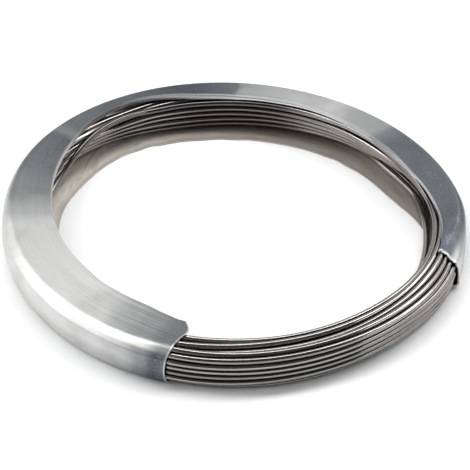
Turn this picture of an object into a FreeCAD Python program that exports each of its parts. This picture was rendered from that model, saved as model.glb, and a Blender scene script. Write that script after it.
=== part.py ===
# Coil of music wire held in a formed sheet-metal sleeve.
#
# The wire lies flat as a ring of about twenty-eight turns. A strip of thin soft
# aluminium is folded into a channel round three quarters of that ring: a flat
# bottom flange, an outer wall with a soft bend at each edge, and a top flange
# that is wide at one end and narrow at the other. The channel is open towards
# the bore, so the turns show there, and they lie bare in the gap between the
# channel's two ends, where the bundle takes a flatter line than the channel.
#
# Frame: millimetres, +Z up, origin at the middle of the ring's plan and at the
# underside of the bottom flange. The bare stretch of wire faces -Y and +X. The
# sleeve's own axis is a little behind that origin, by centre_y.

import FreeCAD, Part
import math
import os

import Sketcher

App = FreeCAD
V = App.Vector

doc = App.newDocument("music_wire_coil")

# ---------------------------------------------------------------- dimensions
sheet = doc.addObject("Spreadsheet::Sheet", "Dims")
sheet.Label = "Dims"
DIMS = [
    ("ring_r", 82.5, "outer radius of the sleeve's wall"),
    ("tall", 14.8, "height of the sleeve over both flanges"),
    ("gauge", 0.5, "thickness of the sheet"),
    ("bend_top", 3.0, "outer radius of the bend at the top"),
    ("bend_low", 3.4, "outer radius of the bend at the bottom"),
    ("lip_top", 61.0, "radius the top flange is folded in to before it is trimmed"),
    ("lip_low", 62.6, "radius the bottom flange is folded in to before it is trimmed"),
    ("sweep_deg", 272.0, "angle the strip is folded round, before its end is cut"),
    ("start_deg", -12.0, "angle of the sleeve's narrow end from +X"),
    ("wire_d", 2.159, "diameter of the wire, 0.085 inch"),
    ("turn_r", 1.25, "radius of the ridge that stands for one turn"),
    ("col_first", 71.8, "radius of the innermost column of turns"),
    ("col_pitch", 2.16, "radial pitch of the columns"),
    ("row_first", 1.77, "height of the lowest row of turns"),
    ("row_pitch", 2.252, "vertical pitch of the rows"),
    ("mid_r", 76.12, "radius of the bundle's middle inside the sleeve"),
    ("gap_r", 90.0, "radius of the flatter line in the gap"),
    ("gap_near", 70.6, "distance of the bundle's middle from the axis at the gap"),
    ("turn_in_r", 55.0, "radius of the arcs between the two"),
    ("gap_deg", -58.0, "direction of the middle of the gap from +X"),
    ("trim_deep", 1.2, "depth of the cut that trims a flange"),
    ("centre_y", -1.2, "where the sleeve's axis lies, so that the plan is centred"),
    ("cut_near_x", -11.2, "the wide end's cut, at the flange's edge"),
    ("cut_near_y", -61.6, "the same point"),
    ("cut_far_x", -21.9, "the wide end's cut, outside the wall"),
    ("cut_far_y", -84.0, "the same point"),
]
for i, (name, value, note) in enumerate(DIMS, start=1):
    sheet.set("A%d" % i, name)
    sheet.set("B%d" % i, "%s" % value)
    sheet.set("C%d" % i, note)
    sheet.setAlias("B%d" % i, name)
doc.recompute()


def dim(name):
    return float(sheet.get(name))


def plane(body, role):
    for f in body.Origin.OriginFeatures:
        if f.Role == role:
            return f
    raise RuntimeError("no origin plane " + role)


def axis(body, role):
    for f in body.Origin.OriginFeatures:
        if f.Role == role:
            return f
    raise RuntimeError("no origin axis " + role)


def sketch_on(body, name, role, offset=None):
    s = body.newObject("Sketcher::SketchObject", name)
    s.AttachmentSupport = [(plane(body, role), "")]
    s.MapMode = "FlatFace"
    if offset is not None:
        s.AttachmentOffset = offset
    return s


def bind(s, index, name, expression):
    """Names a constraint and drives it from the sheet."""
    s.renameConstraint(index, name)
    s.setExpression("Constraints." + name, expression)


# -------------------------------------------------------------------- sleeve
# The channel's section, drawn as a strip of one thickness with two bends.
sleeve = doc.addObject("PartDesign::Body", "sleeve")
sleeve.Label = "sleeve"
sleeve.Placement = App.Placement(V(0, dim("centre_y"), 0), App.Rotation())
sleeve.setExpression("Placement.Base.y", "Dims.centre_y")

R, H, T = dim("ring_r"), dim("tall"), dim("gauge")
BT, BL = dim("bend_top"), dim("bend_low")
RT, RL = dim("lip_top"), dim("lip_low")

section = sketch_on(
    sleeve,
    "sleeve_section",
    "XZ_Plane",
    App.Placement(V(0, 0, 0), App.Rotation(V(0, 1, 0), dim("start_deg"))),
)
section.setExpression("AttachmentOffset.Rotation.Angle", "Dims.start_deg")


def arc(cx, cy, r, a0, a1):
    return Part.ArcOfCircle(
        Part.Circle(V(cx, cy, 0), V(0, 0, 1), r), math.radians(a0), math.radians(a1)
    )


def seg(x0, y0, x1, y1):
    return Part.LineSegment(V(x0, y0, 0), V(x1, y1, 0))


geo = [
    seg(RT, H, R - BT, H),  # 0 top flange, outside
    arc(R - BT, H - BT, BT, 0, 90),  # 1 top bend, outside
    seg(R, H - BT, R, BL),  # 2 wall, outside
    arc(R - BL, BL, BL, 270, 360),  # 3 bottom bend, outside
    seg(R - BL, 0, RL, 0),  # 4 bottom flange, outside
    seg(RL, 0, RL, T),  # 5 bottom flange's edge
    seg(RL, T, R - BL, T),  # 6 bottom flange, inside
    arc(R - BL, BL, BL - T, 270, 360),  # 7 bottom bend, inside
    seg(R - T, BL, R - T, H - BT),  # 8 wall, inside
    arc(R - BT, H - BT, BT - T, 0, 90),  # 9 top bend, inside
    seg(R - BT, H - T, RT, H - T),  # 10 top flange, inside
    seg(RT, H - T, RT, H),  # 11 top flange's edge
]
section.addGeometry(geo, False)
C = Sketcher.Constraint
section.addConstraint(
    [
        C("Tangent", 0, 2, 1, 2),
        C("Tangent", 1, 1, 2, 1),
        C("Tangent", 2, 2, 3, 2),
        C("Tangent", 3, 1, 4, 1),
        C("Coincident", 4, 2, 5, 1),
        C("Coincident", 5, 2, 6, 1),
        C("Tangent", 6, 2, 7, 1),
        C("Tangent", 7, 2, 8, 1),
        C("Tangent", 8, 2, 9, 1),
        C("Tangent", 9, 2, 10, 1),
        C("Coincident", 10, 2, 11, 1),
        C("Coincident", 11, 2, 0, 1),
        C("Horizontal", 0),
        C("Vertical", 2),
        C("Vertical", 5),
        C("Vertical", 11),
        C("Coincident", 1, 3, 9, 3),
        C("Coincident", 3, 3, 7, 3),
    ]
)


def driven(s, constraint, name, expression):
    i = s.addConstraint(constraint)
    bind(s, i, name, expression)


driven(section, C("DistanceX", -1, 1, 2, 1, R), "wall_r", "Dims.ring_r")
driven(section, C("DistanceX", -1, 1, 8, 1, R - T), "wall_in_r", "Dims.ring_r - Dims.gauge")
driven(section, C("Radius", 1, BT), "top_bend", "Dims.bend_top")
driven(section, C("Radius", 3, BL), "low_bend", "Dims.bend_low")
driven(section, C("DistanceY", -1, 1, 0, 1, H), "height", "Dims.tall")
driven(section, C("DistanceX", -1, 1, 0, 1, RT), "top_reach", "Dims.lip_top")
driven(section, C("DistanceX", -1, 1, 5, 1, RL), "low_reach", "Dims.lip_low")
section.addConstraint(C("PointOnObject", 4, 2, -1))

turn = sleeve.newObject("PartDesign::Revolution", "sleeve_turn")
turn.Profile = section
turn.ReferenceAxis = (section, ["V_Axis"])
turn.Angle = dim("sweep_deg")
turn.setExpression("Angle", "Dims.sweep_deg")
turn.Reversed = False
doc.recompute()

# The flanges' inner edges, as fractions of the ring's radius at angles from +X.
# The top flange is narrow over the far side and wide towards the far end, where
# its corner is cut round. The strip was sheared by hand, so no edge is a true arc.
TOP_EDGE = [
    (-40, 0.700), (-26, 0.800), (-17, 0.862), (-11.5, 0.878), (-5, 0.880), (0, 0.880),
    (8.8, 0.868), (14, 0.859), (21, 0.848), (32, 0.832), (42, 0.834), (51, 0.845),
    (66, 0.857), (79, 0.859), (91, 0.863), (103, 0.878), (112, 0.902), (120, 0.922),
    (127, 0.921), (134, 0.909), (139, 0.899), (144, 0.882), (149, 0.863), (154, 0.847),
    (160, 0.832), (170, 0.808), (180, 0.790), (190, 0.778), (200, 0.768), (213, 0.757),
    (224, 0.753), (236, 0.747), (244, 0.745), (248, 0.750), (251.4, 0.758), (253.8, 0.764),
    (255.9, 0.772), (257.3, 0.788), (258.2, 0.810), (259.0, 0.850), (261, 0.900), (267, 0.905),
    (278, 0.820), (296, 0.700), (308, 0.665),
]
LOW_EDGE = [
    (-46, 0.700), (-26, 0.800), (-16, 0.850), (-8, 0.858), (2, 0.852), (11.7, 0.838),
    (20, 0.816), (27.5, 0.793), (34, 0.783), (47, 0.786), (60, 0.786), (72, 0.780),
    (85, 0.775), (98, 0.772), (107, 0.772), (117, 0.781), (126, 0.789), (135, 0.787),
    (148, 0.774), (163, 0.769), (179, 0.762), (200, 0.765), (220, 0.766), (240, 0.768),
    (248, 0.771), (252, 0.774), (254.8, 0.780), (256.6, 0.792), (257.8, 0.812), (258.8, 0.850),
    (260.6, 0.890), (266, 0.900), (272, 0.870), (282, 0.800), (300, 0.700), (309, 0.680),
]


def edge_curve(points):
    """A closed smooth curve through the edge's points."""
    curve = Part.BSplineCurve()
    curve.interpolate(
        Points=[
            V(R * f * math.cos(math.radians(a)), R * f * math.sin(math.radians(a)), 0)
            for a, f in points
        ],
        PeriodicFlag=True,
    )
    return curve


def trim(name, points, z, z_expression, downward):
    s = sketch_on(
        sleeve,
        name + "_edge",
        "XY_Plane",
        App.Placement(V(0, 0, z), App.Rotation(V(0, 0, 1), 0)),
    )
    s.setExpression("AttachmentOffset.Base.z", z_expression)
    s.addGeometry(edge_curve(points), False)
    doc.recompute()
    p = sleeve.newObject("PartDesign::Pocket", name)
    p.Profile = s
    p.Length = dim("trim_deep")
    p.setExpression("Length", "Dims.trim_deep")
    p.Reversed = not downward
    doc.recompute()
    return p


before = sleeve.Shape.Volume
trim("top_trim", TOP_EDGE, H, "Dims.tall", True)
after_top = sleeve.Shape.Volume
trim("low_trim", LOW_EDGE, 0.0, "0 mm", False)
after_low = sleeve.Shape.Volume

# The wide end is sheared across at a slant.
end = sketch_on(sleeve, "end_cut_line", "XY_Plane")
NX, NY, FX, FY = dim("cut_near_x"), dim("cut_near_y"), dim("cut_far_x"), dim("cut_far_y")
end.addGeometry(
    [seg(NX, NY, FX, FY), seg(FX, FY, 0.0, FY), seg(0.0, FY, 0.0, NY), seg(0.0, NY, NX, NY)],
    False,
)
for i in range(4):
    end.addConstraint(C("Coincident", i, 2, (i + 1) % 4, 1))
end.addConstraint([C("Horizontal", 1), C("Vertical", 2), C("Horizontal", 3)])
driven(end, C("DistanceX", 0, 1, -1, 1, -NX), "near_x", "-Dims.cut_near_x")
driven(end, C("DistanceY", 0, 1, -1, 1, -NY), "near_y", "-Dims.cut_near_y")
driven(end, C("DistanceX", 0, 2, -1, 1, -FX), "far_x", "-Dims.cut_far_x")
driven(end, C("DistanceY", 0, 2, -1, 1, -FY), "far_y", "-Dims.cut_far_y")
end.addConstraint(C("PointOnObject", 1, 2, -2))
end_cut = sleeve.newObject("PartDesign::Pocket", "end_cut")
end_cut.Profile = end
end_cut.Type = 1
end_cut.Midplane = True
doc.recompute()
after_end = sleeve.Shape.Volume
print("sleeve volume after the end's cut: %.0f mm3" % after_end)
if not after_low - after_end > 20:
    raise SystemExit("the end was not cut")

print("sleeve volume: folded %.0f, top trimmed %.0f, both trimmed %.0f mm3" % (before, after_top, after_low))
if not (before - after_top > 100 and after_top - after_low > 50):
    raise SystemExit("a flange was not trimmed")

# ----------------------------------------------------------------- wire coil
# The bundle's section: five columns of turns, six rows high, with the outermost
# column seated half a pitch off the others. Each turn on the outside of the
# bundle is one ridge. The section is carried round a closed line of tangent
# arcs: the channel's own radius where it lies in the channel, and a flatter arc
# where it lies bare.
coil = doc.addObject("PartDesign::Body", "wire_coil")
coil.Label = "wire_coil"
coil.Placement = App.Placement(V(0, dim("centre_y"), 0), App.Rotation())
coil.setExpression("Placement.Base.y", "Dims.centre_y")

rho = dim("turn_r")
c0, cp = dim("col_first"), dim("col_pitch")
r0, rp = dim("row_first"), dim("row_pitch")

# (radius, height, expression for the radius, expression for the height), in
# order round the section: inner column upwards, along the top, down the outer
# column, and back along the bottom.
turns = []


def add_turn(col, row):
    turns.append(
        (
            c0 + cp * col,
            r0 + rp * row,
            "Dims.col_first + %g * Dims.col_pitch" % col,
            "Dims.row_first + %g * Dims.row_pitch" % row,
        )
    )


for row in range(6):
    add_turn(0, row)
for col in (1, 2, 3):
    add_turn(col, 5)
for row in (4.5, 3.5, 2.5, 1.5, 0.5):
    add_turn(4, row)
for col in (3, 2, 1):
    add_turn(col, 0)

bundle = sketch_on(coil, "bundle_section", "XZ_Plane")


def outer_meet(a, b):
    """Where the ridges of two neighbouring turns meet, on the section's outside, going clockwise."""
    dx, dy = b[0] - a[0], b[1] - a[1]
    far = math.hypot(dx, dy)
    if far >= 2 * rho:
        raise SystemExit("two ridges don't meet")
    rise = math.sqrt(rho * rho - far * far / 4)
    # left of the direction of travel is outside, because the section is followed clockwise
    return ((a[0] + b[0]) / 2 - dy / far * rise, (a[1] + b[1]) / 2 + dx / far * rise)


# The section is drawn on the far side of the axis from +X, where the line starts.
meets = [outer_meet(turns[i - 1], turns[i]) for i in range(len(turns))]
arcs = []
for i, tn in enumerate(turns):
    start, end = meets[i], meets[(i + 1) % len(turns)]
    # mirrored to -X, so clockwise becomes counterclockwise
    a0 = math.atan2(start[1] - tn[1], -(start[0] - tn[0]))
    a1 = math.atan2(end[1] - tn[1], -(end[0] - tn[0]))
    if a1 <= a0:
        a1 += 2 * math.pi
    arcs.append(Part.ArcOfCircle(Part.Circle(V(-tn[0], tn[1], 0), V(0, 0, 1), rho), a0, a1))
bundle.addGeometry(arcs, False)
n = len(arcs)
for i in range(n):
    bundle.addConstraint(C("Coincident", i, 2, (i + 1) % n, 1))
for i, tn in enumerate(turns):
    driven(bundle, C("DistanceX", i, 3, -1, 1, tn[0]), "col_%d" % i, tn[2])
    driven(bundle, C("DistanceY", -1, 1, i, 3, tn[1]), "row_%d" % i, tn[3])
driven(bundle, C("Radius", 0, rho), "ridge", "Dims.turn_r")
for i in range(1, n):
    bundle.addConstraint(C("Equal", 0, i))

# The line the bundle follows, in plan.
line = sketch_on(coil, "bundle_line", "XY_Plane")
RM, RG, RN, RT_IN = dim("mid_r"), dim("gap_r"), dim("gap_near"), dim("turn_in_r")
G = math.radians(dim("gap_deg"))
off = RG - RN  # the flat arc's centre is this far behind the axis
ot, gt = RM - RT_IN, RG - RT_IN
phi = math.acos((gt * gt - ot * ot - off * off) / (2 * ot * off))
psi = math.atan2(ot * math.sin(phi), off + ot * math.cos(phi))
gc = V(-off * math.cos(G), -off * math.sin(G), 0)
tc = [V(ot * math.cos(G + s * phi), ot * math.sin(G + s * phi), 0) for s in (-1, 1)]


def circ(centre, r, a0, a1):
    while a1 <= a0:
        a1 += 2 * math.pi
    return Part.ArcOfCircle(Part.Circle(centre, V(0, 0, 1), r), a0, a1)


two = 2 * math.pi
path = [
    circ(V(0, 0, 0), RM, math.pi, G - phi + two),  # 0 far side to the first arc
    circ(tc[0], RT_IN, G - phi + two, G - psi + two),  # 1 turning in
    circ(gc, RG, G - psi + two, G + psi + two),  # 2 the bare stretch
    circ(tc[1], RT_IN, G + psi + two, G + phi + two),  # 3 turning out
    circ(V(0, 0, 0), RM, G + phi + two, math.pi + two),  # 4 back to the start
]
line.addGeometry(path, False)
line.addConstraint(
    [
        C("Tangent", 0, 2, 1, 1),
        C("Tangent", 1, 2, 2, 1),
        C("Tangent", 2, 2, 3, 1),
        C("Tangent", 3, 2, 4, 1),
        C("Coincident", 4, 2, 0, 1),
        C("Coincident", 0, 3, -1, 1),
        C("Coincident", 4, 3, -1, 1),
        C("PointOnObject", 0, 1, -1),
    ]
)
driven(line, C("Radius", 0, RM), "mid", "Dims.mid_r")
driven(line, C("Radius", 2, RG), "flat", "Dims.gap_r")
driven(line, C("Radius", 1, RT_IN), "turn_in", "Dims.turn_in_r")
driven(line, C("Radius", 3, RT_IN), "turn_out", "Dims.turn_in_r")
driven(
    line,
    C("DistanceX", 2, 3, -1, 1, off * math.cos(G)),
    "flat_back_x",
    "(Dims.gap_r - Dims.gap_near) * cos(Dims.gap_deg * 1 deg)",
)
driven(
    line,
    C("DistanceY", -1, 1, 2, 3, -off * math.sin(G)),
    "flat_back_y",
    "-(Dims.gap_r - Dims.gap_near) * sin(Dims.gap_deg * 1 deg)",
)
doc.recompute()

pipe = coil.newObject("PartDesign::AdditivePipe", "bundle_ring")
pipe.Profile = bundle
pipe.Spine = (line, ["Edge%d" % (i + 1) for i in range(5)])
pipe.Mode = "Standard"
pipe.Transition = "Transformed"
doc.recompute()

# -------------------------------------------------------------------- checks
bad = [o.Name for o in doc.Objects if any(w in o.State for w in ("Invalid", "Error"))]
if bad:
    raise SystemExit("objects that failed: %s" % bad)

length = sum(e.Length for e in line.Shape.Edges)
area = Part.Face(Part.Wire(Part.__sortEdges__(bundle.Shape.Edges))).Area
print("bundle line %.2f mm, section %.2f mm2, product %.0f, solid %.0f mm3" % (length, area, length * area, coil.Shape.Volume))

os.makedirs("parts", exist_ok=True)
for body in (sleeve, coil):
    shape = body.Shape
    if shape.isNull() or not shape.isValid() or len(shape.Solids) != 1:
        raise SystemExit("%s is not one valid solid" % body.Label)
    shape.exportStep(os.path.join("parts", body.Label + ".step"))
    b = shape.BoundBox
    print(
        "%s: %.2f x %.2f x %.2f mm, z from %.2f, volume %.0f mm3, %d faces"
        % (body.Label, b.XLength, b.YLength, b.ZLength, b.ZMin, shape.Volume, len(shape.Faces))
    )
both = sleeve.Shape.common(coil.Shape)
print("shared by sleeve and coil: %.4f mm3" % both.Volume)
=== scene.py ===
import math

import bpy
import numpy as np
from mathutils import Matrix, Vector


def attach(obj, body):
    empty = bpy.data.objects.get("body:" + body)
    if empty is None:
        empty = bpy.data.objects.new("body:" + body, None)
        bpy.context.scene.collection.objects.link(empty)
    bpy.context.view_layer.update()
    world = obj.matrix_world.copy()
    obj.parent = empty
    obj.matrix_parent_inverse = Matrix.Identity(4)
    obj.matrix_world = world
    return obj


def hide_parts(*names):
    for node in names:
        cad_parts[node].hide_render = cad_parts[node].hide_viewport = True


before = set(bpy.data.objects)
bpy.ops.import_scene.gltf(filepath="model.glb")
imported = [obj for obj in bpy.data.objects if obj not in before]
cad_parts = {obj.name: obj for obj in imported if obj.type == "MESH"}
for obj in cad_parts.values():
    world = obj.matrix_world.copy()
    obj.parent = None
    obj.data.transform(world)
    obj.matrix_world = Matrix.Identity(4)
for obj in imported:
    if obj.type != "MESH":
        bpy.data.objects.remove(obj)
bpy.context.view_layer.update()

scene = bpy.context.scene

# ------------------------------------------------------------------ real sizes
R = 0.0825  # outer radius of the sleeve's wall
CY = -0.0012  # the sleeve's axis, in the row frame
TALL = 0.0148
GAUGE = 0.0005
WIRE = 0.00216
deg = math.radians


def table(points):
    """A closed table of angle and value, read by angle in degrees, smoothly."""
    a = np.array([p[0] for p in points], float) % 360
    v = np.array([p[1] for p in points], float)
    o = np.argsort(a)
    a, v = a[o], v[o]
    a = np.concatenate([a[-3:] - 360, a, a[:3] + 360])
    v = np.concatenate([v[-3:], v, v[:3]])
    # monotone cubic through the points
    h, s = np.diff(a), np.diff(v) / np.diff(a)
    m = np.zeros(len(a))
    w1, w2 = 2 * h[1:] + h[:-1], h[1:] + 2 * h[:-1]
    same = s[:-1] * s[1:] > 0
    with np.errstate(divide="ignore", invalid="ignore"):
        m[1:-1] = np.where(same, (w1 + w2) / (w1 / s[:-1] + w2 / s[1:]), 0.0)
    m[0], m[-1] = s[0], s[-1]

    def read(t):
        t = np.asarray(t, float) % 360
        i = np.clip(np.searchsorted(a, t, side="right") - 1, 0, len(a) - 2)
        k = (t - a[i]) / h[i]
        return (
            (1 + 2 * k) * (1 - k) ** 2 * v[i]
            + k * (1 - k) ** 2 * h[i] * m[i]
            + k * k * (3 - 2 * k) * v[i + 1]
            + k * k * (k - 1) * h[i] * m[i + 1]
        )

    return read


def smooth(x, lo, hi):
    k = np.clip((np.asarray(x, float) - lo) / (hi - lo), 0, 1)
    return k * k * (3 - 2 * k)


def bump(x, at, width):
    return np.exp(-(((np.asarray(x, float) - at) / width) ** 2))


def waves(seed, count, low, high):
    """A smooth closed random function of the angle in degrees, about -1 to 1."""
    g = np.random.default_rng(seed)
    n = g.integers(low, high + 1, count)
    p = g.uniform(0, 2 * math.pi, count)
    w = g.uniform(0.5, 1.0, count)
    w = w / np.sqrt((w * w).sum() / 2)

    def read(t):
        t = np.radians(np.asarray(t, float))
        return sum(w[i] * np.sin(n[i] * t + p[i]) for i in range(count)) * 0.6

    return read


# ---------------------------------------------------------------------- camera
cam_data = bpy.data.cameras.new("camera")
cam = bpy.data.objects.new("camera", cam_data)
scene.collection.objects.link(cam)
scene.camera = cam
cam_data.sensor_fit = "HORIZONTAL"
cam_data.sensor_width = 36.0
cam_data.lens = 36.0 * 2575.5 / 470.0
cam_data.clip_end = 20.0
cam_data.shift_x = 0.00137
cam_data.shift_y = 0.0199
cam_data.dof.use_dof = False
elevation, roll = deg(37.857), deg(-3.528)
back = Vector((0, -math.cos(elevation), math.sin(elevation)))
right = Vector((1, 0, 0))
up = Vector((0, math.sin(elevation), math.cos(elevation)))
cam_x = right * math.cos(roll) - up * math.sin(roll)
cam_y = right * math.sin(roll) + up * math.cos(roll)
place = Vector((0, CY, 0)) + back * (R / 0.09)
cam.matrix_world = Matrix(
    (
        (cam_x.x, cam_y.x, back.x, place.x),
        (cam_x.y, cam_y.y, back.y, place.y),
        (cam_x.z, cam_y.z, back.z, place.z),
        (0, 0, 0, 1),
    )
)

# ---------------------------------------------------- the sleeve's two inner edges
A0, A1 = -12.0, 260.5

top_edge = table([
    (-26, .884), (-12, .879), (-8.7, .882), (-5.1, .879), (-.5, .880), (4.1, .875), (8.8, .868), (14.1, .859),
    (21, .848), (26.5, .837), (32, .832), (42.2, .834), (51.2, .845), (58.8, .849), (66, .857),
    (72.6, .860), (78.8, .859), (85, .860), (91, .863), (97, .870), (103, .878), (108.7, .895),
    (114.4, .913), (117.3, .921), (120.3, .924), (123.4, .926), (126.8, .921), (130.4, .916), (134.3, .909),
    (138.6, .900), (143.5, .883), (148.8, .863), (154.2, .847), (159.5, .832), (164.6, .819),
    (169.8, .808), (174.9, .798), (180, .790), (185.1, .784), (190.3, .778), (195, .771),
    (197.6, .770), (202.7, .766), (206.5, .762), (213.1, .757), (218.8, .754), (224, .754),
    (228.5, .751), (232.6, .748), (236.5, .746), (240.3, .745), (243.9, .745), (247.7, .750),
    (251.3, .757), (255, .764), (258, .772), (262, .775), (275, .80),
])
low_edge = table([
    (-12, .858), (0, .852), (11.7, .840), (19.8, .818), (27.4, .792), (34.4, .783), (40.7, .785), (46.5, .786),
    (51.7, .784), (56.4, .790), (60.8, .785), (68.4, .783), (75, .779), (81, .777), (86.5, .777),
    (91.9, .771), (97.4, .774), (103.2, .771), (109.6, .778), (116.9, .780), (121, .791),
    (125.5, .788), (130.4, .792), (135.8, .786), (141.8, .781), (148.3, .773), (155.4, .770),
    (163.1, .770), (171, .767), (179.2, .761), (200, .765), (220, .766), (240, .768), (252, .772), (262, .780),
])

# ------------------------------------------------------------- winding the wire
STATIONS = 48
TURNS = 28
START = 200.0  # both ends of the wire lie inside the sleeve, under its wide part
TAIL = 3  # stations past the last whole turn

in_r = table([
    (-103.5, .838), (-97, .829), (-90, .821), (-80, .812), (-70, .804), (-58, .797), (-46, .796),
    (-34, .803), (-22, .820), (-12, .836), (-4, .843), (0, .845), (12, .850), (30, .850), (47, .846),
    (60, .850), (80, .850), (95, .850), (109, .853), (118, .862), (128, .869), (140, .872), (152, .869),
    (175, .864), (215, .862), (245, .852),
])
out_r = table([
    (-103.5, .986), (-97, .979), (-90, .970), (-80, .960), (-70, .950), (-58, .936), (-46, .934),
    (-34, .938), (-22, .955), (-12, .972), (0, .976), (15, .983), (47, .989),
    (109, .991), (150, .991), (215, .990), (245, .986),
])
# near the narrow end the bundle's foot stands back from the bore
foot_r = table([
    (-60, .80), (-40, .803), (-28, .813), (-12, .845), (0, .890), (10, .918), (20, .930), (26, .932), (32, .926),
    (38, .918), (42, .908), (48.5, .904), (54.5, .901), (62, .890), (70, .879), (78, .872), (88, .862), (97, .853), (104, .852),
    (110, .858), (115, .866), (121, .876), (128, .887), (134, .896), (142, .900), (150, .892), (160, .872), (175, .862),
    (200, .80), (250, .80),
])
# how far the bundle's upper inner corner lies below the sleeve's lip
drop = table([
    (-14, .0), (10, .006), (40, .010), (60, .012), (85, .014), (100, .017), (112, .026), (125, .029),
    (138, .027), (150, .018), (165, .012), (185, .006), (200, .0), (330, .0),
])
low_z = table([
    (-103.5, .004), (-90, .001), (-58, .000), (-34, .002), (-12, .008), (20, .008), (109, .008),
    (215, .008), (245, .008),
])
high_z = table([
    (-103.5, .170), (-90, .169), (-58, .167), (-34, .167), (-12, .168), (20, .171), (109, .171),
    (215, .171), (245, .171),
])


def wind():
    g = np.random.default_rng(11)
    total = TURNS * STATIONS + TAIL
    index = np.arange(total)
    theta = START + index * 360.0 / STATIONS
    turn = index // STATIONS

    # slots: five columns, six rows, each second column half a row up
    order = []
    for column in (4, 3, 2, 1, 0):
        rows = range(6) if column % 2 == 0 else range(5, -1, -1)
        order += [(column, row) for row in rows if (column, row) not in ((1, 0), (2, 0))]
    for a, b in ((2, 3), (7, 8), (10, 12), (14, 15), (17, 19), (4, 5), (20, 21)):
        order[a], order[b] = order[b], order[a]
    order.append((0, 5))
    columns = np.array([c for c, _ in order], float)
    rows = np.array([r + (0.5 if c % 2 else 0.0) for c, r in order], float)

    def soften(v, sigma):
        k = np.arange(-4 * int(sigma + 1), 4 * int(sigma + 1) + 1)
        w = np.exp(-0.5 * (k / sigma) ** 2)
        w /= w.sum()
        pad = len(k) // 2
        return np.convolve(np.pad(v, pad, mode="edge"), w, mode="valid")

    # where each turn changes places with the next, mostly where the sleeve hides it
    shift = np.full(TURNS + 1, 2)
    for t, s in ((3, -14), (9, -20), (13, -11), (20, 9)):
        shift[t] = s
    held = np.zeros(total, int)
    for k in range(1, TURNS + 1):
        held[index >= k * STATIONS + shift[k]] = k
    col = soften(columns[held], 2.2)
    row = soften(rows[held], 2.2)

    a, b = in_r(theta) * R, out_r(theta) * R
    lo, hi = low_z(theta) * R, high_z(theta) * R
    d = WIRE
    tr = a + d / 2 + (b - a - d) * col / 4.0
    tz = lo + d / 2 + (hi - lo - d) * row / 5.5
    wander = [waves(100 + k, 5, 2, 7) for k in range(TURNS + 1)]
    rise = [waves(300 + k, 5, 2, 7) for k in range(TURNS + 1)]
    loose = 0.25 + 0.75 * (smooth(theta % 360, 250, 262) * (1 - smooth(theta % 360, 338, 352)))
    for k in range(TURNS + 1):
        m = turn == k
        tr[m] += 0.00022 * loose[m] * wander[k](theta[m])
        tz[m] += 0.00022 * loose[m] * rise[k](theta[m])

    # two loose turns leave the bundle's inner foot near the narrow end
    free = np.zeros(total, bool)
    lane_r = table([
        (120, .900), (60, .880), (52, .876), (45.6, .877), (40.6, .883), (34.9, .889), (32, .894), (28.6, .897), (25, .886),
        (21.4, .867), (15.9, .849), (5.8, .828), (-0.6, .824), (-9, .817), (-20, .816), (-32, .817), (-50, .812),
        (-75, .825), (-103, .850), (-180, .880),
    ])
    for k, dr, z in ((22, 0.0, 0.020), (23, 0.0265, 0.020)):
        m = (turn == k) & (((theta % 360) < 50) | ((theta % 360) > 325))
        w = np.where((theta % 360) < 180, 1 - smooth(theta % 360, 41, 50), smooth(theta % 360, 322, 340))
        up = (0.042 if k == 22 else 0.014) * (1 - smooth((theta + 90) % 360 - 90, 10, 27))
        # the second lies outside the first on the flange and under it where they hang free
        side = dr * (0.1 + 0.9 * smooth((theta + 90) % 360 - 90, 8, 26))
        tr[m] = (tr * (1 - w) + (lane_r(theta) + side) * R * w)[m]
        tz[m] = (tz * (1 - w) + (z + up) * R * w)[m]
        free |= m & (w > 0.02)
    pinned = free.copy()

    # the last turn, uppermost under the lip, crosses the others on its way down
    last = index >= TURNS * STATIONS - 10
    w = smooth(theta % 360, 138, 161)
    lead = smooth(theta % 360, 120, 140)
    tz[last] = ((0.146 * (1 - w) + 0.020 * w) * R * lead + tz * (1 - lead))[last]
    tr[last] = ((0.857 + 0.020 * smooth(theta % 360, 168, 185)) * R * lead + tr * (1 - lead))[last]
    free |= last
    pinned |= last

    P = np.stack([tr, tz], 1)
    T = P.copy()
    n_rows = TURNS + 1
    grid = np.full((n_rows, STATIONS), -1)
    grid[index // STATIONS, index % STATIONS] = index
    there = grid >= 0
    safe = np.where(there, grid, 0)
    low_r = a + d / 2
    low_r[free] = 0.80 * R
    high_r = b - d / 2
    floor_z, top_z = lo + d / 2, hi - d / 2
    corner = 0.0016
    foot = foot_r(theta) * R + d / 2
    # the narrow end is pressed slantwise over the bundle's outer shoulder
    t180 = (theta + 180) % 360 - 180
    pressed = smooth(t180, -52, -14) * (1 - smooth(t180, -14, 14))
    edge = (top_edge(theta) + 0.004) * R
    fall = np.clip(drop(theta), 0, 1) * R * np.where(last, 0.35, 1.0)
    slants = [(0.611, 0.791, 0.6650, 0.0505, pressed), (0.894, 0.447, 0.8945, 0.045, pressed)]
    # and the rounder bend of the sleeve's left side comes lower over it
    soft = smooth(theta % 360, 146, 190) * (1 - smooth(theta % 360, 266, 300))
    slants += [(0.654, 0.757, 0.7345, 0.030, soft), (0.978, 0.2095, 0.9785, 0.020, soft)]
    for step in range(300):
        calm = step > 200
        if step < 140:
            P += (0.05 if step < 80 else 0.02) * (T - P)
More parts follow.
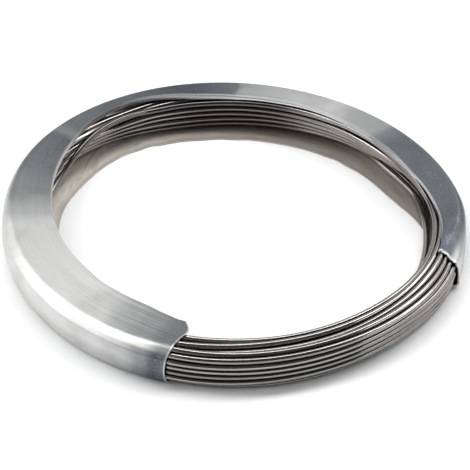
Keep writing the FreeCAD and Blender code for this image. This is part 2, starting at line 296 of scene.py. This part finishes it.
        # bending: each point toward its neighbours' middle
        for _ in range(1 if calm else 2):
            mid = P.copy()
            mid[2:-2] = (P[:-4] * -1 + P[1:-3] * 4 + P[3:-1] * 4 + P[4:] * -1) / 6
            P += (0.4 if not calm else 0.25 if step < 240 else 0.10) * (mid - P)
        P[pinned] += (0.6 if step < 160 else 0.25 if not calm else 0.05) * (T - P)[pinned]
        for _ in range(2):
            Q = P[safe]
            Q[~there] = 1e3 + np.arange((~there).sum())[:, None]
            delta = Q[:, None] - Q[None, :]
            dist = np.sqrt((delta**2).sum(-1)) + 1e-12
            lap = np.clip(d * 1.004 - dist, 0, None)
            lap[np.arange(n_rows), np.arange(n_rows)] = 0
            push = (delta / dist[..., None] * (lap * 0.5)[..., None]).sum(1) * (0.8 if step < 240 else 0.95)
            flat = grid[there]
            P[flat] += push[there]
            # the sleeve's walls and, in the gap, the bundle's own edge
            P[:, 1] = np.clip(P[:, 1], floor_z, top_z - fall * (1 - smooth((P[:, 0] - edge) / R, 0, 0.030)))
            lean = foot - (foot - low_r) * np.clip((P[:, 1] - 0.002) / 0.0075, 0, 1)
            P[:, 0] = np.clip(P[:, 0], np.where(free, low_r, np.maximum(low_r, lean)), high_r)
            for ar, az, limit, slack, where in slants:
                over = np.clip(ar * P[:, 0] + az * P[:, 1] - (limit + slack * (1 - where)) * R, 0, None)
                P -= over[:, None] * np.array([ar, az])
            for up_side in (True, False):
                cz = (top_z - corner) if up_side else (floor_z + corner)
                cr = high_r - corner
                inside = (P[:, 0] > cr) & ((P[:, 1] > cz) if up_side else (P[:, 1] < cz))
                v = np.stack([P[:, 0] - cr, P[:, 1] - cz], 1)
                far = np.sqrt((v**2).sum(1)) + 1e-12
                out = inside & (far > corner)
                P[out, 0] = cr[out] + v[out, 0] / far[out] * corner
                P[out, 1] = cz[out] + v[out, 1] / far[out] * corner
    Q = P[safe]
    Q[~there] = 1e3 + np.arange((~there).sum())[:, None]
    dist = np.sqrt(((Q[:, None] - Q[None, :]) ** 2).sum(-1)) + 10 * np.eye(n_rows)[..., None]
    worst = dist.min(0)
    print("winding: closest pair %.3f mm, stations under 0.9 d: %d" % (worst.min() * 1000, (worst.min(0) < 0.9 * d).sum() if worst.ndim > 1 else (worst < 0.9 * d).sum()))
    t = np.radians(theta)
    return np.stack([P[:, 0] * np.cos(t), P[:, 0] * np.sin(t) + CY, P[:, 1]], 1)


route = wind()
curve = bpy.data.curves.new("wire_route", "CURVE")
curve.dimensions = "3D"
curve.resolution_u = 4
spline = curve.splines.new("NURBS")
spline.points.add(len(route) - 1)
spline.points.foreach_set("co", np.hstack([route, np.ones((len(route), 1))]).ravel())
spline.order_u = 3
spline.use_endpoint_u = True
route_obj = bpy.data.objects.new("wire_route", curve)
scene.collection.objects.link(route_obj)
line_mesh = bpy.data.meshes.new_from_object(route_obj)
line = np.empty(len(line_mesh.vertices) * 3)
line_mesh.vertices.foreach_get("co", line)
line = line.reshape(-1, 3)
bpy.data.objects.remove(route_obj)
bpy.data.meshes.remove(line_mesh)


def new_mesh(name, verts, faces, smooth_shade=True):
    mesh = bpy.data.meshes.new(name)
    mesh.from_pydata([tuple(v) for v in verts], [], [tuple(int(i) for i in f) for f in faces])
    mesh.update()
    mesh.polygons.foreach_set("use_smooth", [smooth_shade] * len(mesh.polygons))
    obj = bpy.data.objects.new(name, mesh)
    scene.collection.objects.link(obj)
    return obj


def attribute(obj, name, values):
    layer = obj.data.attributes.new(name, "FLOAT", "POINT")
    layer.data.foreach_set("value", np.asarray(values, float).ravel())


def tube(name, path, radius, sides):
    t = np.gradient(path, axis=0)
    t /= np.linalg.norm(t, axis=1)[:, None]
    n1 = np.cross(t, [0, 0, 1.0])
    n1 /= np.linalg.norm(n1, axis=1)[:, None]
    n2 = np.cross(n1, t)
    a = np.arange(sides) * 2 * math.pi / sides
    ring = (
        path[:, None]
        + radius * np.cos(a)[None, :, None] * n1[:, None]
        + radius * np.sin(a)[None, :, None] * n2[:, None]
    )
    verts = ring.reshape(-1, 3)
    n = len(path)
    i = np.arange(n - 1)[:, None] * sides
    j = np.arange(sides)[None, :]
    k = (j + 1) % sides
    faces = np.stack([i + j, i + sides + j, i + sides + k, i + k], -1).reshape(-1, 4)
    faces = [tuple(f) for f in faces]
    faces.append(tuple(range(sides)))
    faces.append(tuple(range((n - 1) * sides, n * sides))[::-1])
    obj = new_mesh(name, verts, faces)
    run = np.concatenate([[0], np.cumsum(np.linalg.norm(np.diff(path, axis=0), axis=1))])
    attribute(obj, "run", np.repeat(run, sides))
    attribute(obj, "side", np.tile(a, n))
    attribute(obj, "turn", np.repeat(np.arange(n) / n * (len(route) / STATIONS), sides))
    return obj, run[-1]


SIDES = 16
wire, wire_length = tube("wire_turns", line, WIRE / 2, SIDES)


def closeness():
    """How near each point of the wire's surface lies to another turn, 1 where they touch."""
    ang = np.degrees(np.unwrap(np.arctan2(line[:, 1] - CY, line[:, 0])))
    x = (ang - ang[0]) / 360
    rz = np.stack([np.hypot(line[:, 0], line[:, 1] - CY), line[:, 2]], 1)
    a = np.arange(SIDES) * 2 * math.pi / SIDES
    skin = rz[:, None] + WIRE / 2 * np.stack([np.cos(a), np.sin(a)], 1)[None]
    best = np.full(skin.shape[:2], 1.0)
    for m in range(-TURNS, TURNS + 1):
        if m == 0:
            continue
        y = x + m
        there = (y >= 0) & (y <= x[-1])
        other = np.stack([np.interp(y, x, rz[:, 0]), np.interp(y, x, rz[:, 1])], 1)
        gap = np.linalg.norm(skin - other[:, None], axis=2) - WIRE / 2
        best = np.where(there[:, None], np.minimum(best, gap), best)
    return np.clip(1 - best / (WIRE / 2), 0, 1)


attribute(wire, "close", closeness())
attribute(wire, "angle", np.repeat(np.degrees(np.arctan2(line[:, 1] - CY, line[:, 0])), SIDES))
print("wire: %.2f m in %.1f turns" % (wire_length, len(route) / STATIONS))

# ---------------------------------------------------------------------- sleeve


def resample(points, count, ends=True):
    """Points at even steps along a smooth line through the given ones."""
    p = np.array(points, float)
    t = np.concatenate([[0], np.cumsum(np.linalg.norm(np.diff(p, axis=0), axis=1))])
    fine = np.linspace(0, t[-1], 200)
    m = np.gradient(p, t, axis=0)
    i = np.clip(np.searchsorted(t, fine, side="right") - 1, 0, len(t) - 2)
    h = (t[i + 1] - t[i])[:, None]
    k = ((fine - t[i]) / (t[i + 1] - t[i]))[:, None]
    q = (
        (1 + 2 * k) * (1 - k) ** 2 * p[i] + k * (1 - k) ** 2 * h * m[i]
        + k * k * (3 - 2 * k) * p[i + 1] + k * k * (k - 1) * h * m[i + 1]
    )
    l = np.concatenate([[0], np.cumsum(np.linalg.norm(np.diff(q, axis=0), axis=1))])
    at = np.linspace(0, l[-1], count + 1)
    out = np.stack([np.interp(at, l, q[:, 0]), np.interp(at, l, q[:, 1])], 1)
    return out if ends else out[:-1]


lip_drop = table([
    (-12, .005), (10, .010), (40, .008), (85, .009), (96, .016), (112, .021), (135, .020), (160, .014),
    (185, .008), (200, .003), (225, .0), (262, .0),
])
N_LIP, N_TOP, N_BEND, N_WALL, N_FOOT, N_LOW = 5, 20, 12, 10, 9, 12
TOP_Z = TALL / R - 0.0006


def section(top, bend, wall, foot_line, rt, rl, lip):
    """One section from the lip's foot round to the bottom flange's edge."""
    first = resample([(rt - 0.0006, TOP_Z - lip - 0.003), (rt - 0.0008, TOP_Z - lip * 0.5 - 0.0015), (rt + 0.0004, TOP_Z - 0.0012)], N_LIP, False)
    flat = resample([(rt + 0.0016, TOP_Z - 0.0001)] + top, N_TOP, False)
    return np.concatenate([
        first, flat,
        resample(bend, N_BEND, False), resample(wall, N_WALL, False), resample(foot_line, N_FOOT, False),
        resample([foot_line[-1], ((foot_line[-1][0] + rl) / 2, 0.0004), (rl, 0.0004)], N_LOW, True),
    ])


def sleeve_mesh():
    stations = 460
    th = np.linspace(A0, A1, stations)
    dip, tilt, dent, dent2, lowdip = waves(21, 6, 3, 9), waves(22, 6, 4, 12), waves(23, 7, 5, 15), waves(24, 7, 9, 22), waves(25, 6, 4, 12)
    near = 1 - smooth(th, A0 - 4, A0 + 24)  # the narrow end is pressed rounder
    far = 0.8 * smooth(th, 150, 196) + 0.2 * smooth(th, A1 - 26, A1 + 2)
    sections = []
    for i, t in enumerate(th):
        rt, rl = float(top_edge(t)), float(low_edge(t))
        lip = max(float(lip_drop(t)), 0.0)
        top = [((rt + 0.964) / 2, TOP_Z), (0.964, TOP_Z)]
        plain = section(
            top,
            [(0.964, TOP_Z), (0.978, 0.1755), (0.9905, 0.165), (0.9975, 0.150)],
            [(0.9975, 0.150), (0.9995, 0.110), (0.9985, 0.070), (0.996, 0.045)],
            [(0.996, 0.045), (0.990, 0.024), (0.977, 0.007), (0.957, 0.0004)],
            rt, rl, lip,
        )
        wide = section(
            [((rt + 0.935) / 2, TOP_Z), (0.935, TOP_Z)],
            [(0.935, TOP_Z), (0.950, 0.175), (0.970, 0.161), (0.992, 0.142)],
            [(0.992, 0.142), (0.9995, 0.107), (0.998, 0.069), (0.991, 0.045)],
            [(0.991, 0.045), (0.984, 0.026), (0.972, 0.008), (0.955, 0.0004)],
            rt, rl, lip,
        )
        slim = section(
            [(max(rt + 0.006, 0.888), TOP_Z - 0.0012), (max(rt + 0.02, 0.900), 0.170)],
            [(0.900, 0.170), (0.918, 0.158), (0.934, 0.144), (0.962, 0.124)],
            [(0.962, 0.124), (0.975, 0.098), (0.981, 0.070), (0.983, 0.045)],
            [(0.983, 0.045), (0.982, 0.022), (0.975, 0.006), (0.956, 0.0004)],
            rt, rl, lip,
        )
        w, v = near[i], far[i]
        p = plain * (1 - w - v) + slim * w + wide * v
        sections.append(p)
    P = np.array(sections)
    n = P.shape[1]
    # hand-made unevenness: the flange lies in shallow facets, the wall is softly dented
    at = np.arange(n)
    flange = np.clip((at - N_LIP) / N_TOP, 0, 1)
    on_top = (at <= N_LIP + N_TOP)
    for i, t in enumerate(th):
        sag = -0.0011 * (1 - flange) * (0.5 + 0.5 * tilt(t)) - 0.0010 * np.sin(math.pi * flange) * (0.5 + 0.5 * dip(t))
        P[i, :, 1] += np.where(on_top, sag, 0)
        q = np.clip((at - N_LIP - N_TOP - N_BEND / 2) / (N_BEND / 2 + N_WALL + N_FOOT / 2), 0, 1)
        P[i, :, 0] += -0.0012 * np.sin(math.pi * q) ** 2 * (0.6 + 0.6 * dent(t)) - 0.0007 * np.sin(2 * math.pi * q) ** 2 * (0.5 + 0.5 * dent2(t))
        q = np.clip((at - (n - 1 - N_LOW)) / N_LOW, 0, 1)
        P[i, :, 1] += 0.0011 * np.sin(math.pi * q) * (0.5 + 0.5 * lowdip(t)) + 0.0004 * q**5
        # creases pressed into the shoulder by the narrow end
        c = np.clip((at - N_LIP - N_TOP * 0.3) / (N_TOP * 0.7 + N_BEND), 0, 1)
        fold = bump(t, -3.5, 2.2) * 1.0 - bump(t, 1.0, 2.0) * 0.8 + bump(t, 5.5, 2.6) * 0.6 - bump(t, -8.0, 1.8) * 0.7
        P[i, :, 1] += 0.0016 * np.sin(math.pi * c) ** 2 * fold * (1 - smooth(t, 6, 14)) * np.where(at < N_LIP + N_TOP + N_BEND, 1, 0) - 0.0008 * np.sin(math.pi * c) ** 2 * near[i]
    P = P * R
    d = np.gradient(P, axis=1)
    d /= np.linalg.norm(d, axis=2)[..., None] + 1e-12
    normal = np.stack([d[..., 1], -d[..., 0]], -1)  # towards the channel's inside
    inner = P + normal * GAUGE
    ring = np.concatenate([P, inner[:, ::-1]], 1)
    m = ring.shape[1]
    ang = np.repeat(np.radians(th)[:, None], m, 1)
    along = ring[..., 0] / R
    # the wide end is sheared at a slant and its corner is cut round
    reach = np.interp(
        along,
        [.745, .760, .775, .790, .805, .818, .831, .850, .868, .884, .923, .951, .968, .992, 1.001],
        [254.9, 256.0, 256.95, 257.7, 258.3, 258.7, 258.80, 258.40, 257.85, 257.35, 256.7, 256.4, 256.04, 255.67, 255.54],
    )
    k = (th[:, None] - 240) / (A1 - 240)
    ang = np.where(th[:, None] > 240, np.radians(240 + k * (reach - 240)), ang)
    # the narrow end is torn a little unevenly
    g = np.random.default_rng(5)
    ragged = np.convolve(g.uniform(-1, 1, n + 4), [0.2, 0.6, 0.2], mode="same")[:n]
    ragged = np.concatenate([ragged, ragged[::-1]]) * 0.55
    ang = ang + np.radians(ragged)[None, :] * (1 - smooth(th, A0, A0 + 2.2))[:, None]
    foot_back = np.interp(np.arange(m), [0, n - N_LOW - 4, n - 1, n + N_LOW + 3, m - 1], [0, 0, -1.6, 0, 0])
    ang = ang + np.radians(foot_back)[None, :] * (1 - smooth(th, A0, A0 + 8))[:, None]
    verts = np.stack([ring[..., 0] * np.cos(ang), ring[..., 0] * np.sin(ang) + CY, ring[..., 1]], -1)
    i = np.arange(stations - 1)[:, None] * m
    j = np.arange(m)[None, :]
    k = (j + 1) % m
    quads = np.stack([i + j, i + k, i + m + k, i + m + j], -1).reshape(-1, 4)
    faces = [tuple(q) for q in quads]
    for s, flip in ((0, False), (stations - 1, True)):
        base = s * m
        for a in range(n - 1):
            q = (base + a, base + m - 1 - a, base + m - 2 - a, base + a + 1)
            faces.append(q if not flip else q[::-1])
    obj = new_mesh("sleeve_sheet", verts.reshape(-1, 3), faces)
    step = np.linalg.norm(np.diff(ring, axis=1), axis=2)
    across = np.concatenate([np.zeros((stations, 1)), np.cumsum(step, axis=1)], 1)
    obj.data.set_sharp_from_angle(angle=math.radians(38))
    attribute(obj, "along", np.repeat(np.radians(th) * R, m))
    attribute(obj, "across", across.ravel())
    attribute(obj, "inside", np.tile(np.concatenate([np.zeros(n), np.ones(n)]), stations))
    # where a point is across the section: 0 on the top flange, 1 on the wall, 2 on the bottom flange
    zone = np.interp(np.arange(n), [0, N_LIP + N_TOP, N_LIP + N_TOP + N_BEND, n - 1 - N_LOW - N_FOOT, n - 1 - N_LOW, n - 1], [0, 0, 1, 1, 2, 2])
    attribute(obj, "zone", np.tile(np.concatenate([zone, zone[::-1]]), stations))
    attribute(obj, "angle", np.repeat(th, m))
    # painted highlight mask along both edges of the strip
    rim = np.concatenate([np.exp(-np.arange(n) / 2.0), np.exp(-np.arange(n) / 2.0)[::-1]])
    rim += np.concatenate([np.exp(-np.arange(n) / 1.2)[::-1], np.exp(-np.arange(n) / 1.2)])
    # painted highlight: the bright band along the lip is wide at the back and a mere line elsewhere
    wide_band = smooth(th, 20, 44) * (1 - 0.85 * smooth(th, 108, 130))
    bevel = np.array([np.interp(np.arange(n), [0, N_LIP + 2.2 * k, N_LIP + 1.0 + 2.6 * k], [1, 1, 0]) for k in wide_band])
    bevel = np.concatenate([bevel, bevel[:, ::-1]], 1)
    lip_highlight = smooth(th, -12, -4) * (1 - smooth(th, 186, 200)) * (0.75 + 0.25 * dip(th))
    rim = np.maximum(np.tile(rim, (stations, 1)), bevel * lip_highlight[:, None])
    attribute(obj, "rim", rim)
    # painted highlight on the cut ends
    cut = np.zeros(stations)
    cut[[0, 1, -2, -1]] = 1.0, 0.45, 0.0, 1.0
    attribute(obj, "cut", np.repeat(cut, m))
    return obj


sleeve = sleeve_mesh()

# ------------------------------------------------------------------- materials


def material(name):
    m = bpy.data.materials.new(name)
    m.use_nodes = True
    t = m.node_tree
    t.nodes.clear()
    return m, t


class Nodes:
    def __init__(self, tree):
        self.t = tree

    def new(self, kind, **props):
        n = self.t.nodes.new(kind)
        for k, v in props.items():
            setattr(n, k, v)
        return n

    def link(self, a, b):
        self.t.links.new(a, b)

    def attr(self, name):
        n = self.new("ShaderNodeAttribute")
        n.attribute_name = name
        return n.outputs["Fac"]

    def value(self, v):
        n = self.new("ShaderNodeValue")
        n.outputs[0].default_value = v
        return n.outputs[0]

    def math(self, op, a, b=None, clamp=False):
        n = self.new("ShaderNodeMath", operation=op)
        n.use_clamp = clamp
        for i, x in enumerate((a, b)):
            if x is None:
                continue
            if isinstance(x, (int, float)):
                n.inputs[i].default_value = x
            else:
                self.link(x, n.inputs[i])
        return n.outputs[0]

    def combine(self, x, y, z):
        n = self.new("ShaderNodeCombineXYZ")
        for i, v in enumerate((x, y, z)):
            if isinstance(v, (int, float)):
                n.inputs[i].default_value = v
            else:
                self.link(v, n.inputs[i])
        return n.outputs[0]

    def noise(self, vector, scale, detail=3.0, rough=0.55, distort=0.0):
        n = self.new("ShaderNodeTexNoise")
        n.inputs["Scale"].default_value = scale
        n.inputs["Detail"].default_value = detail
        n.inputs["Roughness"].default_value = rough
        n.inputs["Distortion"].default_value = distort
        if vector is not None:
            self.link(vector, n.inputs["Vector"])
        return n.outputs["Fac"]

    def remap(self, v, a, b, c, d, kind="SMOOTHSTEP"):
        n = self.new("ShaderNodeMapRange", interpolation_type=kind)
        self.link(v, n.inputs["Value"])
        for name, x in (("From Min", a), ("From Max", b), ("To Min", c), ("To Max", d)):
            n.inputs[name].default_value = x
        return n.outputs["Result"]

    def mix(self, f, a, b, blend="MIX"):
        n = self.new("ShaderNodeMix", data_type="RGBA", blend_type=blend)
        for name, x in (("Factor", f),):
            if isinstance(x, (int, float)):
                n.inputs[0].default_value = x
            else:
                self.link(x, n.inputs[0])
        for i, x in ((6, a), (7, b)):
            if isinstance(x, (tuple, list)):
                n.inputs[i].default_value = (*x[:3], 1.0)
            else:
                self.link(x, n.inputs[i])
        return n.outputs[2]


def wire_material():
    m, t = material("drawn_spring_steel")
    N = Nodes(t)
    out = N.new("ShaderNodeOutputMaterial")
    b = N.new("ShaderNodeBsdfPrincipled")
    N.link(b.outputs[0], out.inputs[0])
    run, side, turn = N.attr("run"), N.attr("side"), N.attr("turn")
    cs, sn = N.math("COSINE", side), N.math("SINE", side)
    # fine draw lines: long along the wire, narrow round it
    lines = N.noise(N.combine(N.math("MULTIPLY", run, 6.0), N.math("MULTIPLY", cs, 4.0), N.math("MULTIPLY", sn, 4.0)), 2.0, 3.0, 0.6)
    cloud = N.noise(N.combine(N.math("MULTIPLY", run, 22.0), cs, sn), 1.0, 4.0, 0.6)
    each = N.noise(N.combine(N.math("FLOOR", turn), 0.37, 0.11), 3.7, 1.0)
    close, angle = N.attr("close"), N.attr("angle")
    base = N.mix(N.remap(cloud, 0.35, 0.7, 0.0, 1.0), (0.30, 0.291, 0.283), (0.44, 0.430, 0.420))
    base = N.mix(N.remap(each, 0.35, 0.65, 0.0, 0.45), base, (0.20, 0.186, 0.176))
    base = N.mix(N.remap(lines, 0.52, 0.72, 0.0, 0.3), base, (0.15, 0.135, 0.127))
    # painted shade with a brown oil tint: over a stretch at the back, where the sleeve's overhang shades the wires, and
    # everywhere in the furrows between turns, where the turns shade each other
    back_stretch_shade = N.math("MULTIPLY", N.remap(angle, 62.0, 86.0, 0.0, 1.0), N.remap(angle, 102.0, 120.0, 1.0, 0.0))
    base = N.mix(N.math("MULTIPLY", back_stretch_shade, N.remap(cloud, 0.25, 0.75, 0.55, 0.9)), base, (0.125, 0.100, 0.092))
    base = N.mix(N.remap(turn, TURNS - 0.36, TURNS - 0.28, 0.0, 0.9), base, (0.115, 0.108, 0.104))
    # painted shade in the furrows, darkest where a turn touches its neighbour
    furrow_shade = N.math("ADD", close, N.remap(cloud, 0.2, 0.8, -0.12, 0.12, "LINEAR"))
    base = N.mix(N.remap(furrow_shade, 0.22, 0.74, 0.0, 0.94), base, (0.058, 0.040, 0.032))
    N.link(base, b.inputs["Base Color"])
    b.inputs["Metallic"].default_value = 1.0
    N.link(N.remap(lines, 0.3, 0.75, 0.11, 0.17, "LINEAR"), b.inputs["Roughness"])
    return m


def ramp_by_angle(N, angle, stops):
    """A tone from 0 to 1 by the angle round the ring, -12 to 260.5 degrees."""
    n = N.new("ShaderNodeValToRGB")
    N.link(N.remap(angle, A0, A1, 0.0, 1.0, "LINEAR"), n.inputs[0])
    r = n.color_ramp
    r.interpolation = "EASE"
    while len(r.elements) > 1:
        r.elements.remove(r.elements[-1])
    for i, (a, v) in enumerate(stops):
        pos = (a - A0) / (A1 - A0)
        e = r.elements[0] if i == 0 else r.elements.new(pos)
        e.position = pos
        e.color = (v, v, v, 1)
    return n.outputs["Color"]


def sheet_material():
    m, t = material("mill_finish_sheet")
    N = Nodes(t)
    out = N.new("ShaderNodeOutputMaterial")
    b = N.new("ShaderNodeBsdfPrincipled")
    N.link(b.outputs[0], out.inputs[0])
    along, across, inside = N.attr("along"), N.attr("across"), N.attr("inside")
    zone, angle, rim = N.attr("zone"), N.attr("angle"), N.attr("rim")
    tc = N.new("ShaderNodeTexCoord").outputs["Object"]
    # rubbing marks along the strip, cloudy oxide, and a fine grain
    lines = N.noise(N.combine(N.math("MULTIPLY", along, 16.0), N.math("MULTIPLY", across, 1500.0), 0.0), 1.0, 3.0, 0.65)
    bands = N.noise(N.combine(N.math("MULTIPLY", along, 9.0), N.math("MULTIPLY", across, 190.0), 3.1), 1.0, 3.0, 0.55)
    cloud = N.noise(tc, 55.0, 4.0, 0.6, 0.6)
    grain = N.noise(tc, 1700.0, 2.0, 0.6)
    # painted reflections: the flange is painted darker in stretches, with rather sudden borders
    wob = N.math("ADD", angle, N.remap(N.noise(tc, 60.0, 3.0, 0.5), 0.2, 0.8, -2.5, 2.5, "LINEAR"))
    painted_reflection = ramp_by_angle(N, wob, FLANGE_REFLECTION_TONES)
    on_wall = N.remap(zone, 0.25, 0.9, 0.0, 1.0)
    reflection_tone = N.mix(on_wall, painted_reflection, ramp_by_angle(N, wob, WALL_REFLECTION_TONES))
    base = N.mix(reflection_tone, (0.78, 0.785, 0.765), (0.084, 0.095, 0.112))
    grey = N.math("SUBTRACT", 1.02, N.remap(cloud, 0.38, 0.72, 0.0, 0.16))
    grey = N.math("SUBTRACT", grey, N.remap(bands, 0.42, 0.72, 0.0, 0.045))
    rubbed = N.math("MULTIPLY", N.remap(lines, 0.38, 0.68, 0.0, 1.0), N.remap(angle, 222.0, 246.0, 0.07, 0.27))
    grey = N.math("SUBTRACT", grey, N.math("MULTIPLY", rubbed, N.remap(on_wall, 0.0, 1.0, 1.0, 0.25)))
    base = N.mix(1.0, base, grey, "MULTIPLY")
    base = N.mix(N.math("MULTIPLY", N.remap(grain, 0.52, 0.72, 0.0, 0.24), reflection_tone), base, (0.62, 0.64, 0.66))
    # painted highlight along the strip's edges and the lip, and on the cut ends
    rim_highlight = N.math("MULTIPLY", N.remap(rim, 0.30, 0.95, 0.0, 0.70), N.remap(zone, 0.9, 1.4, 1.0, 0.25))
    base = N.mix(N.math("MAXIMUM", rim_highlight, N.math("MULTIPLY", N.attr("cut"), 0.9)), base, (0.72, 0.73, 0.73))
    # painted highlight: the bend is painted bright up to the cut of the wide end
    bend_highlight = N.math("MULTIPLY", N.remap(zone, 0.06, 0.26, 0.0, 1.0), N.remap(zone, 0.52, 0.80, 1.0, 0.0))
    bend_highlight = N.math("MULTIPLY", bend_highlight, N.math("MULTIPLY", N.remap(angle, 232.0, 244.0, 0.0, 0.8), N.remap(angle, 251.0, 258.0, 1.0, 0.25)))
    base = N.mix(bend_highlight, base, (0.86, 0.845, 0.81))
    # inside it is warmer and stained here and there; painted light makes it pale, palest on the left, on faces the
    # overhang and the wires shade
    stain = N.noise(N.combine(N.math("MULTIPLY", along, 60.0), N.math("MULTIPLY", across, 330.0), 7.7), 1.0, 4.0, 0.62, 0.5)
    inside_light_and_stain = N.mix(N.math("MULTIPLY", N.remap(angle, 104.0, 128.0, 0.0, 1.0), N.remap(angle, 188.0, 215.0, 1.0, 0.3)), (0.60, 0.56, 0.50), (0.86, 0.81, 0.735))
    inside_light_and_stain = N.mix(N.remap(stain, 0.48, 0.68, 0.0, 0.55), inside_light_and_stain, (0.42, 0.37, 0.32))
    base = N.mix(N.math("MULTIPLY", inside, 0.94), base, inside_light_and_stain)
    low_rim = N.math("MULTIPLY", N.remap(rim, 0.1, 0.8, 0.0, 0.55), N.remap(zone, 1.6, 1.95, 0.0, 1.0))
    base = N.mix(low_rim, base, (0.36, 0.34, 0.31))
    N.link(base, b.inputs["Base Color"])
    b.inputs["Metallic"].default_value = 1.0
    rough = N.math("ADD", N.remap(bands, 0.2, 0.8, 0.34, 0.44, "LINEAR"), N.remap(grain, 0.3, 0.7, -0.03, 0.05, "LINEAR"))
    rough = N.math("ADD", rough, N.math("MULTIPLY", inside, 0.12))
    bend = N.math("MULTIPLY", N.remap(zone, 0.02, 0.25, 0.0, 1.0), N.remap(zone, 0.75, 1.0, 1.0, 0.3))
    rough = N.math("ADD", rough, N.math("MULTIPLY", bend, N.remap(angle, 160.0, 200.0, 0.0, 0.09)))
    N.link(rough, b.inputs["Roughness"])
    bm = N.new("ShaderNodeBump")
    bm.inputs["Strength"].default_value = 0.08
    bm.inputs["Distance"].default_value = 0.00004
    N.link(lines, bm.inputs["Height"])
    N.link(bm.outputs[0], b.inputs["Normal"])
    return m


# painted reflection: how dark the top flange is painted, by the angle round the ring
FLANGE_REFLECTION_TONES = [
    (-12, 1.0), (-2, .96), (14, .92), (40, .90), (45, .80), (49, .54), (56, .46), (64, .22), (72, .28), (82, .42),
    (90.5, .52), (92.5, .86), (104, .98), (128, .90), (142, .86), (147, .70), (150, .88), (162, .82),
    (176, .69), (184, .44), (192, .14), (222, .04), (234, .12), (241, .42), (249, .64), (257, .82), (260.5, .84),
]
# painted reflection on the wall, likewise darker and lighter by the angle round the ring
WALL_REFLECTION_TONES = [
    (-12, .20), (-3, .62), (8, .98), (40, .93), (46, .50), (90, .42), (94, .85), (160, .80), (172, .34),
    (200, .16), (234, .20), (246, .34), (251, .70), (256, .96), (260.5, .90),
]
wire.data.materials.append(wire_material())
sleeve.data.materials.append(sheet_material())

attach(wire, "root")
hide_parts("wire_coil")
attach(sleeve, "root")
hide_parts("sleeve")

# ------------------------------------------------------------- floor and light
floor = new_mesh("floor", [(-4, -4, 0), (4, -4, 0), (4, 4, 0), (-4, 4, 0)], [(0, 1, 2, 3)], False)
fm, ft = material("pale_floor")
FN = Nodes(ft)
fo = FN.new("ShaderNodeOutputMaterial")
fb = FN.new("ShaderNodeBsdfPrincipled")
fb.inputs["Base Color"].default_value = (0.97, 0.97, 0.97, 1)
fb.inputs["Roughness"].default_value = 0.9
FN.link(fb.outputs[0], fo.inputs[0])
floor.data.materials.append(fm)


def area_light(name, at, size, power, look=(0, 0, 0), color=(1, 1, 1)):
    l = bpy.data.lights.new(name, "AREA")
    l.shape = "RECTANGLE"
    l.size, l.size_y = size
    l.energy = power
    l.color = color
    o = bpy.data.objects.new(name, l)
    scene.collection.objects.link(o)
    o.location = at
    o.rotation_euler = (Vector(look) - Vector(at)).to_track_quat("-Z", "Y").to_euler()
    return o


area_light("softbox_top", (-0.1, 0.3, 1.25), (2.2, 0.3), 16)
area_light("softbox_right", (0.8, 0.8, 1.05), (0.8, 0.25), 4)
area_light("card_back", (-0.1, 1.9, 1.0), (2.6, 2.0), 9.8, (0, 0, 0.1))
area_light("strip_left", (-1.5, 0.3, 0.62), (1.8, 0.8), 8)
area_light("fill_left", (-1.25, -0.95, 0.75), (1.5, 1.25), 5.2)
area_light("strip_left_high", (-1.05, -0.15, 1.12), (1.3, 0.35), 4.5)
area_light("strip_right", (1.4, 0.3, 0.7), (1.8, 0.22), 7.5)

world = bpy.data.worlds.new("world")
scene.world = world
world.use_nodes = True
world.node_tree.nodes["Background"].inputs[0].default_value = (0.93, 0.96, 1.0, 1)
world.node_tree.nodes["Background"].inputs[1].default_value = 0.12
scene.view_settings.view_transform = "Standard"
